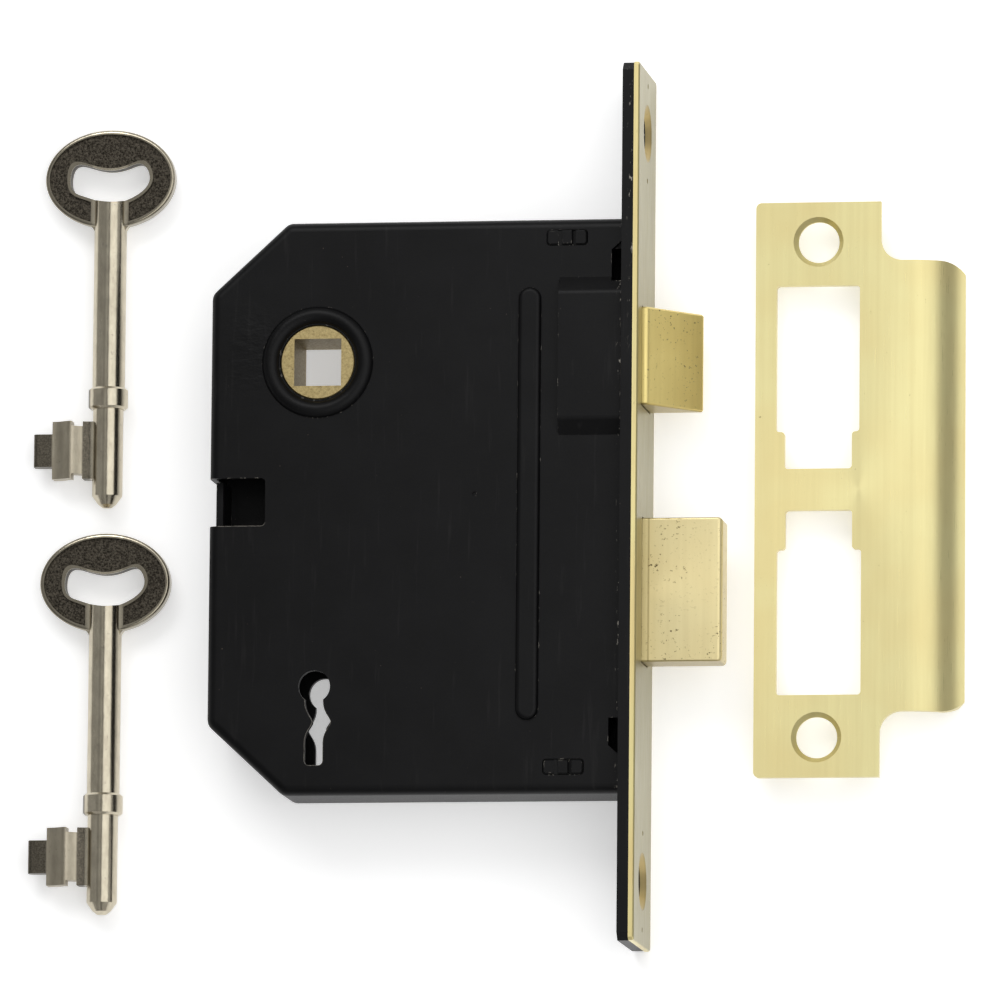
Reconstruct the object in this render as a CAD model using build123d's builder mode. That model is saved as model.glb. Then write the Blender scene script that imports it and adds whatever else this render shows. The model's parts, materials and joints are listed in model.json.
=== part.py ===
from build123d import *
import os
from math import acos, cos, degrees, radians, sin

# A 76 mm mortice sashlock lying on its side with its strike plate and two keys, in millimetres.
# +Z points out of the case face along the spindle, +X is the way the bolts throw, +Y is up the door.
# The origin is on the surface it lies on, at the middle of the whole set.
# Inside this file a lock position is x from the forend's front (minus is into the door)
# and y from the spindle axis; level(height) and forend_plane(depth) turn it into the part's frame.

# where the lock stands
forend_front_x = 27.4
spindle_y = 25.2

# lock standard sizes
backset = 57.0
centres = 57.0
case_depth = 76.0
forend_width = 22.0
forend_top = 51.6
forend_bottom = -102.0
brass_thickness = 1.0
steel_thickness = 2.0
forend_thickness = brass_thickness + steel_thickness

# case
sheet = 1.2
case_back = 4.5
case_front = 17.5
floor_inside = case_back + sheet
roof_inside = case_front - sheet
case_top = 24.8
case_bottom = -76.0
corner_run = 13.5
corner_rise = 12.5
bend_radius = 1.7

# bridge pressed up over the latch, the same on the shell and the cover
bridge_rear = -14.4
bridge_front = -3.4
bridge_low = -13.4
bridge_high = 14.4
bridge_slope = 2.8
bridge_rise = 1.8
shear_gap = 0.15

# stiffening rib, follower boss, notches
rib_x = -19.6
rib_width = 4.0
rib_high = 12.7
rib_low = -63.2
rib_rise = 0.9
boss_radius = 8.35
boss_half_width = 1.5
boss_rise = 1.1
rear_notch_front = -66.0
rear_notch_high = -20.3
rear_notch_low = -28.7
edge_notch_depth = 2.3
edge_notch_length = 4.8
edge_notch_chamfer = 2.1

# forend lugs staked into the case face
lug_rear = -17.6
lug_slot_rear = -16.8
lug_slot_front = -9.5
lug_slot_height = 2.8
lug_height = 3.8
lug_ys = {"upper": 21.4, "lower": -71.4}

# wood screw holes in the forend
screw_hole_ys = (40.6, -90.8)
screw_hole_radius = 2.4
screw_sink_radius = 5.1
swage_mark_distance = 8.4
swage_mark_radius = 0.45
swage_mark_depth = 0.25

# follower
hub_radius = 6.55
hub_hole_radius = 6.62
spindle_square = 8.3
arm_reach = 13.45
arm_angle = 70.0
arm_width = 3.6
arm_back = 8.6
arm_front = 13.8

# latch bolt
latch_rivet_radius = 1.0
rivet_play = 0.05
latch_bevel_start = 0.9
latch_high = 9.2
latch_low = -8.0
latch_back = 5.5
latch_front = 16.5
latch_rear = -4.7
latch_tip = 9.4
latch_tail_back = 6.2
latch_tail_thickness = 2.0
latch_stem_low = -4.0
latch_stem_high = 5.2
fork_root_front = -33.0
fork_root_rear = -39.0
fork_slot_half = 7.0
fork_outer_half = 13.8
fork_post_x = -backset + 1.0
fork_post_y = 12.64
fork_post_radius = 1.5
fork_post_top = 11.6
fork_prong_end = 2.6
latch_clearance = 0.2

# deadbolt
bolt_high = -27.6
bolt_low = -52.8
bolt_back = 6.7
bolt_front = 14.3
bolt_rear = -12.0
bolt_tip = 14.0
bolt_travel = 14.0
bolt_rivet_radius = 1.25
bolt_rear_slot = 8.0
tail_rear = -60.0
tail_back = 9.5
tail_thickness = 3.0
tail_high = -28.4
tail_low = -46.4
talon_width = 4.6
talon_depth = 3.4
stump_x = -43.0
stump_y = -40.5
stump_radius = 1.6

# levers
pivot_x = -36.0
pivot_y = -34.0
pivot_radius = 2.0
lever_thickness = 1.8
lever_levels = {"back": 6.1, "front": 14.1}
lever_lift = 6.5
gate_clearance = 0.3
stop_x = -62.0
stop_y = -18.5
stop_radius = 1.5

# posts, pillar and screw
pillar_x = -29.1
pillar_y = -23.5
pillar_radius = 3.0
cover_screw_radius = 1.5
cover_screw_head_radius = 2.9
cover_screw_length = 9.0
latch_post_x = -24.0
latch_post_y = 0.6
follower_post_x = -61.0
follower_post_y = 19.3

# keyhole and key
keyhole_radius = 2.8
keyhole_width = 3.2
keyhole_depth = 13.8
keyhole_strip_start = 1.5
ward_start = 2.6
ward_end = 9.9
ward_bulge = 1.35
bit_thickness = 2.7
bit_root = 1.0
bit_reach = 13.1
bit_length = 10.2
bit_offset = 2.2
bit_shoulder = 9.7
bit_shoulder_cut = 2.2
groove_near = 4.25
groove_far = 6.05
groove_cut = 0.85
key_x = -96.6
key_tops = {"key_1": 43.9, "key_2": -28.0}
collar_radius = 3.5
collar_length = 3.8
collar_edge = 0.4
collar_drop = 46.0
shank_radius = 2.9
stem_radius = 2.7
shank_start = 3.7
key_length = 67.3
tip_length = 2.1
nose_radius = 1.6
nose_length = 0.6
nose_flat_radius = 0.8
bow_half_width = 11.6
bow_half_height = 8.75
bow_thickness = 2.6
bow_recess = 0.45
bow_web_inset = 0.4
bow_rim = 0.75
bow_hole_rim = 0.6
bow_root_radius = 2.8
bow_root_half_width = 2.55

# strike plate
strike_left = 18.6
strike_high = 28.8
strike_low = -72.3
strike_tab_width = 22.0
strike_thickness = 1.5
strike_top = 6.3
lip_end = 54.9
lip_radius = 11.15
lip_upper_drop = 10.4
lip_lower_rise = 11.5
lip_fillet = 3.8
lip_corner = 4.0
strike_screw_inset = 11.0
strike_screw_ends = 7.0
strike_screw_radius = 3.6
strike_sink_radius = 4.4
# apertures from the plate's left edge and top: left, right, bottom, top
strike_apertures = (
    (3.7, 18.3, 40.5, 14.75),
    (5.2, 17.0, 47.0, 40.0),
    (5.4, 17.1, 61.5, 54.3),
    (3.9, 18.7, 86.7, 61.2),
)


def level(height):
    """Plane parallel to the case face, with its origin at the forend's front and the spindle's height."""
    return Plane(origin=(forend_front_x, spindle_y, height))


def forend_plane(depth):
    """Plane facing out of the forend, depth behind its front: local x is up the door, local y is Z."""
    return Plane(origin=(forend_front_x - depth, spindle_y, 0), x_dir=(0, 1, 0), z_dir=(1, 0, 0))


def profile_plane(height):
    """Plane across the door at this y: local x is the throw, local y is Z, the normal points down."""
    return Plane(origin=(forend_front_x, spindle_y + height, 0), x_dir=(1, 0, 0), z_dir=(0, -1, 0))


def span(x_low, x_high, y_low, y_high):
    """Rectangle between two corners."""
    with BuildSketch() as area:
        with Locations(((x_low + x_high) / 2, (y_low + y_high) / 2)):
            Rectangle(x_high - x_low, y_high - y_low)
    return area.sketch


def post(radius, x, y, low, high):
    """Round post standing along Z."""
    with BuildPart() as body:
        with BuildSketch(level(low)):
            with Locations((x, y)):
                Circle(radius)
        extrude(amount=high - low)
        chamfer(body.edges().filter_by(GeomType.CIRCLE), min(0.25, radius / 6))
    return body


def warded_strip(width, start, end, bulge):
    """Strip running down from the key axis with a sideways bulge, shared by keyhole and key bit."""
    middle = (ward_start + ward_end) / 2
    half = width / 2
    with BuildSketch() as strip:
        with BuildLine():
            Polyline((-half, -start), (-half, -ward_start))
            Spline((-half, -ward_start), (bulge - half, -middle), (-half, -ward_end),
                   tangents=[(0, -1), (0, -1)])
            Polyline((-half, -ward_end), (-half, -end), (half, -end), (half, -ward_end))
            Spline((half, -ward_end), (bulge + half, -middle), (half, -ward_start),
                   tangents=[(0, 1), (0, 1)])
            Polyline((half, -ward_start), (half, -start), (-half, -start))
        make_face()
        fillet(strip.vertices().group_by(Axis.Y)[0], 0.8)
    return strip.sketch


def keyhole(bulge):
    """Keyhole outline, with its bulge towards the forend when positive."""
    with BuildSketch() as outline:
        with Locations((-backset, -centres)):
            Circle(keyhole_radius)
            add(warded_strip(keyhole_width, keyhole_strip_start, keyhole_depth, bulge))
    return outline.sketch


def bridge_section(outer, toward):
    """Side view of the bridge: a strip of sheet raised from the outer face, toward is +1 or -1 in Z."""
    inner = outer - toward * sheet
    crest = outer + toward * bridge_rise
    crest_inner = crest - toward * sheet
    overlap = 0.9
    points = [
        (bridge_low, outer), (bridge_low + bridge_slope, crest), (bridge_high - bridge_slope, crest),
        (bridge_high, outer), (bridge_high, inner), (bridge_high - overlap, inner),
        (bridge_high - bridge_slope - overlap / 2, crest_inner),
        (bridge_low + bridge_slope + overlap / 2, crest_inner), (bridge_low + overlap, inner),
        (bridge_low, inner),
    ]
    with BuildSketch() as section:
        with BuildLine():
            Polyline(*points, close=True)
        make_face()
        crest_corners = section.vertices().filter_by(lambda v: abs(v.Y - crest) < 0.01)
        fillet(crest_corners, 1.4)
    return section.sketch


# ---------------------------------------------------------------- shared outlines

with BuildSketch() as case_profile:
    with BuildLine():
        Polyline(
            (-forend_thickness, case_top), (-case_depth + corner_run, case_top),
            (-case_depth, case_top - corner_rise), (-case_depth, case_bottom + corner_rise),
            (-case_depth + corner_run, case_bottom), (-forend_thickness, case_bottom), close=True,
        )
    make_face()
    rear_corners = case_profile.vertices().filter_by(lambda v: v.X < -forend_thickness - 1)
    fillet(rear_corners, 2.2)

# the hollow is the same outline, one sheet smaller, and open to the front
with BuildSketch() as hollow_profile:
    add(case_profile.sketch)
    add(span(-forend_thickness - 1, 5.0, case_bottom, case_top))
    offset(amount=-sheet, kind=Kind.INTERSECTION, mode=Mode.REPLACE)

with BuildSketch() as bridge_window:
    add(span(bridge_rear - shear_gap, 2.0, bridge_low + 0.5, bridge_high - 0.5))

with BuildSketch() as lug_slots:
    for lug_y in lug_ys.values():
        with Locations(((lug_slot_rear + lug_slot_front) / 2, lug_y)):
            RectangleRounded(lug_slot_front - lug_slot_rear, lug_slot_height, 0.7)


# ---------------------------------------------------------------- case

notch_inner = -forend_thickness - edge_notch_depth
upper_notch_end = bridge_high + edge_notch_length
lower_notch_start = -centres - 5.9
lower_notch_end = lower_notch_start - edge_notch_length

with BuildPart() as case_shell:
    with BuildSketch(level(floor_inside)):
        add(case_profile.sketch)
    extrude(amount=case_front - floor_inside)
    face_edges = case_shell.edges().group_by(Axis.Z)[-1]
    forend_side = case_shell.edges().filter_by(Axis.Y).sort_by(Axis.X)[-2:]
    fillet([edge for edge in face_edges if edge not in forend_side], bend_radius)
    with BuildSketch(level(floor_inside)):
        add(hollow_profile.sketch)
    extrude(amount=roof_inside - floor_inside, mode=Mode.SUBTRACT)
    # rib pressed outwards
    with BuildSketch(level(case_front)):
        with Locations((rib_x, (rib_high + rib_low) / 2)):
            SlotOverall(rib_high - rib_low, rib_width, rotation=90)
    extrude(amount=rib_rise)
    fillet(case_shell.edges().group_by(Axis.Z)[-1], rib_rise - 0.1)
    with BuildSketch(level(roof_inside)):
        with Locations((rib_x, (rib_high + rib_low) / 2)):
            SlotOverall(rib_high - rib_low - 2 * sheet, rib_width - 2 * sheet, rotation=90)
    extrude(amount=rib_rise - 0.2, mode=Mode.SUBTRACT)
    # ring pressed outwards round the follower
    with BuildSketch(profile_plane(0)) as ring_section:
        with BuildLine():
            ThreePointArc(
                (-backset + boss_radius - boss_half_width, case_front - 0.05),
                (-backset + boss_radius, case_front + boss_rise),
                (-backset + boss_radius + boss_half_width, case_front - 0.05),
            )
            Line((-backset + boss_radius + boss_half_width, case_front - 0.05),
                 (-backset + boss_radius - boss_half_width, case_front - 0.05))
        make_face()
    revolve(axis=Axis((forend_front_x - backset, spindle_y, 0), (0, 0, 1)))
    with BuildSketch(profile_plane(0)) as groove_section:
        with BuildLine():
            ThreePointArc(
                (-backset + boss_radius - 0.8, roof_inside - 0.05),
                (-backset + boss_radius, roof_inside + 0.7),
                (-backset + boss_radius + 0.8, roof_inside - 0.05),
            )
            Line((-backset + boss_radius + 0.8, roof_inside - 0.05),
                 (-backset + boss_radius - 0.8, roof_inside - 0.05))
        make_face()
    revolve(axis=Axis((forend_front_x - backset, spindle_y, 0), (0, 0, 1)), mode=Mode.SUBTRACT)
    # latch bridge: the window is sheared out and the strip stands above it
    with BuildSketch(level(roof_inside - 0.5)):
        add(bridge_window.sketch)
    extrude(amount=sheet + 1.0, mode=Mode.SUBTRACT)
    with BuildSketch(forend_plane(-bridge_rear)):
        add(bridge_section(case_front, 1))
    extrude(amount=bridge_front - bridge_rear)
    # holes and notches through the face
    with BuildSketch(level(roof_inside - 0.5)):
        add(keyhole(ward_bulge))
        add(lug_slots.sketch)
        with Locations((-backset, 0)):
            Circle(hub_hole_radius)
        with BuildLine():
            Polyline(
                (0, bridge_high - 1.0), (notch_inner, bridge_high - 1.0), (notch_inner, upper_notch_end),
                (notch_inner + edge_notch_depth, upper_notch_end + edge_notch_chamfer),
                (0, upper_notch_end + edge_notch_chamfer), close=True,
            )
        make_face()
        with BuildLine():
            Polyline(
                (0, lower_notch_start), (notch_inner, lower_notch_start), (notch_inner, lower_notch_end),
                (notch_inner + edge_notch_depth, lower_notch_end - edge_notch_chamfer),
                (0, lower_notch_end - edge_notch_chamfer), close=True,
            )
        make_face()
    extrude(amount=sheet + 1.0, mode=Mode.SUBTRACT)
    # rear notch for the cover's hook tab, through the face and down the rear wall
    with BuildSketch(level(roof_inside - 0.5)):
        notch_middle = (rear_notch_high + rear_notch_low) / 2
        with Locations((rear_notch_front - 8, notch_middle)):
            RectangleRounded(16, rear_notch_high - rear_notch_low, 0.8)
    extrude(amount=sheet + 1.0, mode=Mode.SUBTRACT)
    with BuildSketch(level(floor_inside - 0.5)):
        add(span(-case_depth - 1, -case_depth + sheet + 1, rear_notch_low, rear_notch_high))
    extrude(amount=case_front, mode=Mode.SUBTRACT)
    # centre mark over the cover pillar
    with BuildSketch(level(case_front - 0.3)):
        with Locations((pillar_x, pillar_y)):
            Circle(0.4)
    extrude(amount=1, mode=Mode.SUBTRACT)

tab_width = rear_notch_high - rear_notch_low - 0.6
tab_rear = -case_depth + 0.8
tab_middle = (rear_notch_high + rear_notch_low) / 2
tab_top = 14.2

with BuildPart() as case_cover:
    with BuildSketch(level(case_back)):
        add(case_profile.sketch)
    extrude(amount=sheet)
    with BuildSketch(level(case_back - 0.5)):
        add(bridge_window.sketch)
    extrude(amount=sheet + 1.0, mode=Mode.SUBTRACT)
    with BuildSketch(forend_plane(-bridge_rear)):
        add(bridge_section(case_back, -1))
    extrude(amount=bridge_front - bridge_rear)
    with BuildSketch(level(case_back - 0.5)):
        # the key comes in from either side, so this keyhole is the mirror image of the one in the face
        add(keyhole(-ward_bulge))
        add(lug_slots.sketch)
        with Locations((-backset, 0)):
            Circle(hub_hole_radius)
        with Locations((pillar_x, pillar_y)):
            Circle(cover_screw_radius + 0.1)
    extrude(amount=sheet + 1.0, mode=Mode.SUBTRACT)
    # the hook tab is folded up from the rear edge, inside the shell's notch
    with BuildSketch(level(case_back + sheet / 2)):
        add(span(tab_rear, tab_rear + sheet, tab_middle - tab_width / 2, tab_middle + tab_width / 2))
    extrude(amount=tab_top - case_back - sheet / 2)
    # countersink for the cover screw, opening at the back
    sink_depth = cover_screw_head_radius - cover_screw_radius
    with BuildSketch(level(case_back)):
        with Locations((pillar_x, pillar_y)):
            Circle(cover_screw_head_radius + 0.05)
    with BuildSketch(level(case_back + min(sink_depth, sheet))):
        with Locations((pillar_x, pillar_y)):
            Circle(cover_screw_radius + 0.25)
    loft(mode=Mode.SUBTRACT)

with BuildPart() as cover_pillar:
    with BuildSketch(level(floor_inside)):
        with Locations((pillar_x, pillar_y)):
            Circle(pillar_radius)
            Circle(cover_screw_radius + 0.06, mode=Mode.SUBTRACT)
    extrude(amount=cover_screw_length - sheet)
    with BuildSketch(level(case_back + cover_screw_length)):
        with Locations((pillar_x, pillar_y)):
            Circle(pillar_radius)
    extrude(amount=roof_inside - case_back - cover_screw_length)

with BuildPart() as cover_screw:
    with BuildSketch(level(case_back + 0.05)):
        with Locations((pillar_x, pillar_y)):
            Circle(cover_screw_head_radius)
    with BuildSketch(level(case_back + sheet)):
        with Locations((pillar_x, pillar_y)):
            Circle(cover_screw_radius)
    loft()
    with BuildSketch(level(case_back + sheet)):
        with Locations((pillar_x, pillar_y)):
            Circle(cover_screw_radius)
    extrude(amount=cover_screw_length - sheet - 0.3)
    with BuildSketch(level(case_back)):
        with Locations((pillar_x, pillar_y)):
            Rectangle(2 * cover_screw_head_radius + 1, 0.8)
    extrude(amount=0.6, mode=Mode.SUBTRACT)


# ---------------------------------------------------------------- forends

forend_middle = (forend_top + forend_bottom) / 2
latch_hole = (latch_low - latch_clearance, latch_high + latch_clearance,
              latch_back - 0.25, latch_front + 0.25)
bolt_hole = (bolt_low - latch_clearance, bolt_high + latch_clearance,
             bolt_back - latch_clearance, bolt_front + latch_clearance)


def forend_bar(thickness, depth, corner):
    """Flat bar with the two bolt holes, its back face depth behind the forend's front."""
    with BuildPart() as bar:
        with BuildSketch(forend_plane(depth)) as outline:
            with Locations((forend_middle, forend_width / 2)):
                Rectangle(forend_top - forend_bottom, forend_width)
            chamfer(outline.vertices(), corner)
        extrude(amount=thickness)
        with BuildSketch(forend_plane(depth)):
            add(span(*latch_hole))
            add(span(*bolt_hole))
        extrude(amount=thickness, mode=Mode.SUBTRACT)
    return bar.part


with BuildPart() as outer_forend:
    add(forend_bar(brass_thickness, brass_thickness, 0.5))
    front_edges = outer_forend.faces().sort_by(Axis.X)[-1].outer_wire().edges()
    chamfer(front_edges, 0.25)
    # dimpled screw seats, a cone right through the brass, with two swage marks beside each
    for hole_y in screw_hole_ys:
        with BuildSketch(forend_plane(0)):
            with Locations((hole_y, forend_width / 2)):
                Circle(screw_sink_radius)
        with BuildSketch(forend_plane(brass_thickness)):
            with Locations((hole_y, forend_width / 2)):
                Circle(screw_sink_radius - brass_thickness)
        loft(mode=Mode.SUBTRACT)
        with BuildSketch(forend_plane(swage_mark_depth)):
            for mark_y in (hole_y + swage_mark_distance, hole_y - swage_mark_distance):
                with Locations((mark_y, forend_width / 2)):
                    Circle(swage_mark_radius)
        extrude(amount=1, mode=Mode.SUBTRACT)

with BuildPart() as inner_forend:
    add(forend_bar(steel_thickness, forend_thickness, 1.4))
    for hole_y in screw_hole_ys:
        with BuildSketch(forend_plane(brass_thickness)):
            with Locations((hole_y, forend_width / 2)):
                Circle(screw_sink_radius - brass_thickness)
        with BuildSketch(forend_plane(screw_sink_radius - screw_hole_radius)):
            with Locations((hole_y, forend_width / 2)):
                Circle(screw_hole_radius)
        loft(mode=Mode.SUBTRACT)
        with BuildSketch(forend_plane(forend_thickness + 0.5)):
            with Locations((hole_y, forend_width / 2)):
                Circle(screw_hole_radius)
        extrude(amount=steel_thickness, mode=Mode.SUBTRACT)


def forend_lug(y):
    """Lug from the forend into the case, with tenons staked in three segments on the face."""
    tenon_length = lug_slot_front - lug_slot_rear - 0.2
    tenon_x = (lug_slot_rear + lug_slot_front) / 2
    with BuildPart() as lug:
        with BuildSketch(level(floor_inside + 0.1)):
            add(span(lug_rear, -forend_thickness, y - lug_height / 2, y + lug_height / 2))
        extrude(amount=roof_inside - floor_inside - 0.2)
        with BuildSketch(level(case_back + 0.1)):
            with Locations((tenon_x, y)):
                RectangleRounded(tenon_length, lug_slot_height - 0.2, 0.6)
        extrude(amount=case_front - case_back + 0.25)
        chamfer(lug.edges().group_by(Axis.Z)[-1], 0.25)
        # two staking cuts part the tenon's head into three
        with BuildSketch(profile_plane(y + lug_height)):
            for side in (-1, 1):
                with Locations((tenon_x + side * tenon_length / 6, case_front + 0.4)):
                    Rectangle(0.75, 1.5, rotation=8 * side)
        extrude(amount=2 * lug_height, mode=Mode.SUBTRACT)
    return lug


forend_lug_upper = forend_lug(lug_ys["upper"])

forend_lug_lower = forend_lug(lug_ys["lower"])


# ---------------------------------------------------------------- latch

latch_rivet_ys = (-3.6, 4.8)
tongue_low = latch_tail_back - 0.05
tongue_high = latch_tail_back + latch_tail_thickness + 0.05

with BuildPart() as latch_bolt:
    with BuildSketch(profile_plane(latch_high)) as latch_section:
        with BuildLine():
            Polyline(
                (latch_rear, latch_back), (latch_tip, latch_back), (latch_tip, latch_back + 0.8),
                (latch_bevel_start, latch_front), (latch_rear, latch_front), close=True,
            )
        make_face()
        bevel_corner = latch_section.vertices().sort_by_distance((latch_bevel_start, latch_front))[0]
        fillet(bevel_corner, 1.2)
        tip_corners = latch_section.vertices().group_by(Axis.X)[-1]
        fillet(tip_corners, 0.3)
    extrude(amount=latch_high - latch_low)
    side_faces = latch_bolt.faces().filter_by(Axis.Y)
    chamfer(side_faces.edges().filter_by(lambda e: e.center().X > forend_front_x), 0.3)
    with BuildSketch(profile_plane(latch_high + 1)):
        add(span(latch_rear - 1, latch_rear + 4.0, tongue_low, tongue_high))
    extrude(amount=latch_high - latch_low + 2, mode=Mode.SUBTRACT)
    with BuildSketch(level(latch_back - 1)):
        with Locations(*[(latch_rear + 2.0, rivet_y) for rivet_y in latch_rivet_ys]):
            Circle(latch_rivet_radius + rivet_play)
    extrude(amount=latch_front - latch_back + 2, mode=Mode.SUBTRACT)

with BuildPart() as latch_tail:
    with BuildSketch(level(latch_tail_back)):
        add(span(latch_rear, latch_rear + 3.9, -6.2, 7.4))
        add(span(fork_root_rear + 1.0, latch_rear, latch_stem_low, latch_stem_high))
        add(span(fork_root_rear, fork_root_front, -fork_outer_half, fork_outer_half))
        for side in (-1, 1):
            inner, outer = sorted((side * fork_slot_half, side * fork_outer_half))
            add(span(fork_post_x - fork_prong_end, fork_root_front, inner, outer))
        with Locations(*[(latch_rear + 2.0, rivet_y) for rivet_y in latch_rivet_ys]):
            Circle(latch_rivet_radius + rivet_play, mode=Mode.SUBTRACT)
    extrude(amount=latch_tail_thickness)
    fork_corners = latch_tail.edges().filter_by(Axis.Z).filter_by(
        lambda e: e.center().X < forend_front_x + fork_root_front + 3)
    fillet(fork_corners, 1.2)
    # the ears that the follower's arms push
    with BuildSketch(level(latch_tail_back + latch_tail_thickness)):
        with Locations((fork_post_x, fork_post_y), (fork_post_x, -fork_post_y)):
            Circle(fork_post_radius)
    extrude(amount=fork_post_top - latch_tail_back - latch_tail_thickness)

with BuildPart() as latch_rivets:
    for rivet_y in latch_rivet_ys:
        with BuildSketch(level(latch_back + 0.05)):
            with Locations((latch_rear + 2.0, rivet_y)):
                Circle(latch_rivet_radius)
        extrude(amount=latch_front - latch_back - 0.1)

spring_rear = latch_post_x + 2.1
spring_front = latch_rear - 0.1
latch_spring_wire = 0.4
latch_spring_radius = 2.2
latch_spring_turns = 9
latch_spring_level = 12.4

with BuildPart() as latch_spring:
    coil_length = spring_front - spring_rear - 2 * latch_spring_wire
    coil_start = (forend_front_x + spring_rear + latch_spring_wire, spindle_y + latch_post_y,
                  latch_spring_level)
    with BuildLine() as latch_coil:
        Helix(pitch=coil_length / latch_spring_turns, height=coil_length, radius=latch_spring_radius,
              center=coil_start, direction=(1, 0, 0))
    with BuildSketch(Plane(origin=latch_coil.line @ 0, z_dir=latch_coil.line % 0)):
        Circle(latch_spring_wire)
    sweep(path=latch_coil.line, is_frenet=True)

latch_spring_post = post(2.0, latch_post_x, latch_post_y, 8.6, roof_inside)


# ---------------------------------------------------------------- follower

with BuildPart() as follower:
    with BuildSketch(level(case_back + 0.05)):
        with Locations((-backset, 0)):
            Circle(hub_radius)
    extrude(amount=case_front - case_back - 0.1)
    chamfer(follower.edges().filter_by(GeomType.CIRCLE), 0.2)
    with BuildSketch(level(arm_front)):
        with Locations((-backset, 0)):
            Circle(hub_radius + 1.0)
    extrude(amount=roof_inside - 0.2 - arm_front)
    with BuildSketch(level(arm_back)):
        with Locations((-backset, 0)):
            Circle(hub_radius + 2.0)
            for angle in (arm_angle, -arm_angle):
                with PolarLocations(arm_reach / 2, 1, angle):
                    Rectangle(arm_reach, arm_width)
                with PolarLocations(arm_reach, 1, angle):
                    Circle(arm_width / 2)
    extrude(amount=arm_front - arm_back)
    with BuildSketch(level(case_back)):
        with Locations((-backset, 0)):
            Rectangle(spindle_square, spindle_square)
    extrude(amount=case_front - case_back, mode=Mode.SUBTRACT)

hairpin_wire = 0.5
hairpin_radius = 2.3
hairpin_level = 12.7

with BuildPart() as follower_spring:
    # coil round its post, one leg along the top wall and one down behind the upper arm
    coil_turns = 2
    coil_pitch = 2 * hairpin_wire + 0.1
    centre_x = forend_front_x + follower_post_x
    centre_y = spindle_y + follower_post_y
    with BuildLine() as hairpin_coil:
        Helix(pitch=coil_pitch, height=coil_turns * coil_pitch, radius=hairpin_radius,
              center=(centre_x, centre_y, hairpin_level), direction=(0, 0, 1))
    with BuildSketch(Plane(origin=hairpin_coil.line @ 0, z_dir=hairpin_coil.line % 0)):
        Circle(hairpin_wire)
    sweep(path=hairpin_coil.line, is_frenet=True)
    with BuildLine() as arm_leg:
        Line((centre_x + hairpin_radius, centre_y + 0.3, hairpin_level),
             (forend_front_x - backset + 1.6, spindle_y + 11.6, hairpin_level))
    with BuildSketch(Plane(origin=arm_leg.line @ 0, z_dir=arm_leg.line % 0)):
        Circle(hairpin_wire)
    sweep(path=arm_leg.line)
    top_level = hairpin_level + coil_turns * coil_pitch
    with BuildLine() as wall_leg:
        Line((centre_x + hairpin_radius, centre_y - 0.3, top_level),
             (centre_x + 14.0, spindle_y + case_top - sheet - hairpin_wire - 0.1, top_level))
    with BuildSketch(Plane(origin=wall_leg.line @ 0, z_dir=wall_leg.line % 0)):
        Circle(hairpin_wire)
    sweep(path=wall_leg.line)

hairpin_post_radius = hairpin_radius - hairpin_wire - 0.15
hairpin_post_base = arm_back + 0.4
follower_spring_post = post(hairpin_post_radius, follower_post_x, follower_post_y, hairpin_post_base,
                            roof_inside)


# ---------------------------------------------------------------- deadbolt

bolt_rivet_ys = (-34.5, -46.0)
tail_front_level = tail_back + tail_thickness

with BuildPart() as deadbolt:
    with BuildSketch(level(bolt_back)):
        add(span(bolt_rear, bolt_tip, bolt_low, bolt_high))
    extrude(amount=bolt_front - bolt_back)
    fillet(deadbolt.edges().filter_by(Axis.X), 0.35)
    fillet(deadbolt.faces().sort_by(Axis.X)[-1].edges(), 0.8)
    with BuildSketch(profile_plane(bolt_high + 1)):
        add(span(bolt_rear - 1, bolt_rear + bolt_rear_slot, tail_back - 0.05, tail_front_level + 0.05))
    extrude(amount=bolt_high - bolt_low + 2, mode=Mode.SUBTRACT)
    with BuildSketch(level(bolt_back - 1)):
        with Locations(*[(bolt_rear + 4.0, rivet_y) for rivet_y in bolt_rivet_ys]):
            Circle(bolt_rivet_radius + rivet_play)
    extrude(amount=bolt_front - bolt_back + 2, mode=Mode.SUBTRACT)

talon_x = -backset + bolt_travel / 2

with BuildPart() as deadbolt_tail:
    with BuildSketch(level(tail_back)) as tail_outline:
        add(span(bolt_rear, bolt_rear + bolt_rear_slot - 0.1, bolt_low + 2.8, bolt_high - 3.4))
        add(span(tail_rear, bolt_rear, tail_low, tail_high))
        fillet(tail_outline.vertices().group_by(Axis.X)[0], 2.0)
        # talon notch that the key bit turns in
        with BuildLine():
            Polyline(
                (talon_x - talon_width / 2 - 0.8, tail_low - 1), (talon_x - talon_width / 2, tail_low + 1),
                (talon_x - talon_width / 2 + 0.5, tail_low + talon_depth),
                (talon_x + talon_width / 2 - 0.5, tail_low + talon_depth),
                (talon_x + talon_width / 2, tail_low + 1),
                (talon_x + talon_width / 2 + 0.8, tail_low - 1), close=True,
            )
        make_face(mode=Mode.SUBTRACT)
        # slot that runs on the lever pivot
        with Locations((pivot_x + bolt_travel / 2, pivot_y)):
            SlotCenterToCenter(bolt_travel, 2 * pivot_radius + 0.3, mode=Mode.SUBTRACT)
        with Locations(*[(bolt_rear + 4.0, rivet_y) for rivet_y in bolt_rivet_ys]):
            Circle(bolt_rivet_radius + rivet_play, mode=Mode.SUBTRACT)
        with Locations((stump_x, stump_y)):
            Circle(stump_radius, mode=Mode.SUBTRACT)
    extrude(amount=tail_thickness)

with BuildPart() as deadbolt_rivets:
    for rivet_y in bolt_rivet_ys:
        with BuildSketch(level(bolt_back + 0.05)):
            with Locations((bolt_rear + 4.0, rivet_y)):
                Circle(bolt_rivet_radius)
        extrude(amount=bolt_front - bolt_back - 0.1)

bolt_stump = post(stump_radius, stump_x, stump_y, 5.95, 16.05)


# ---------------------------------------------------------------- levers

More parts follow.
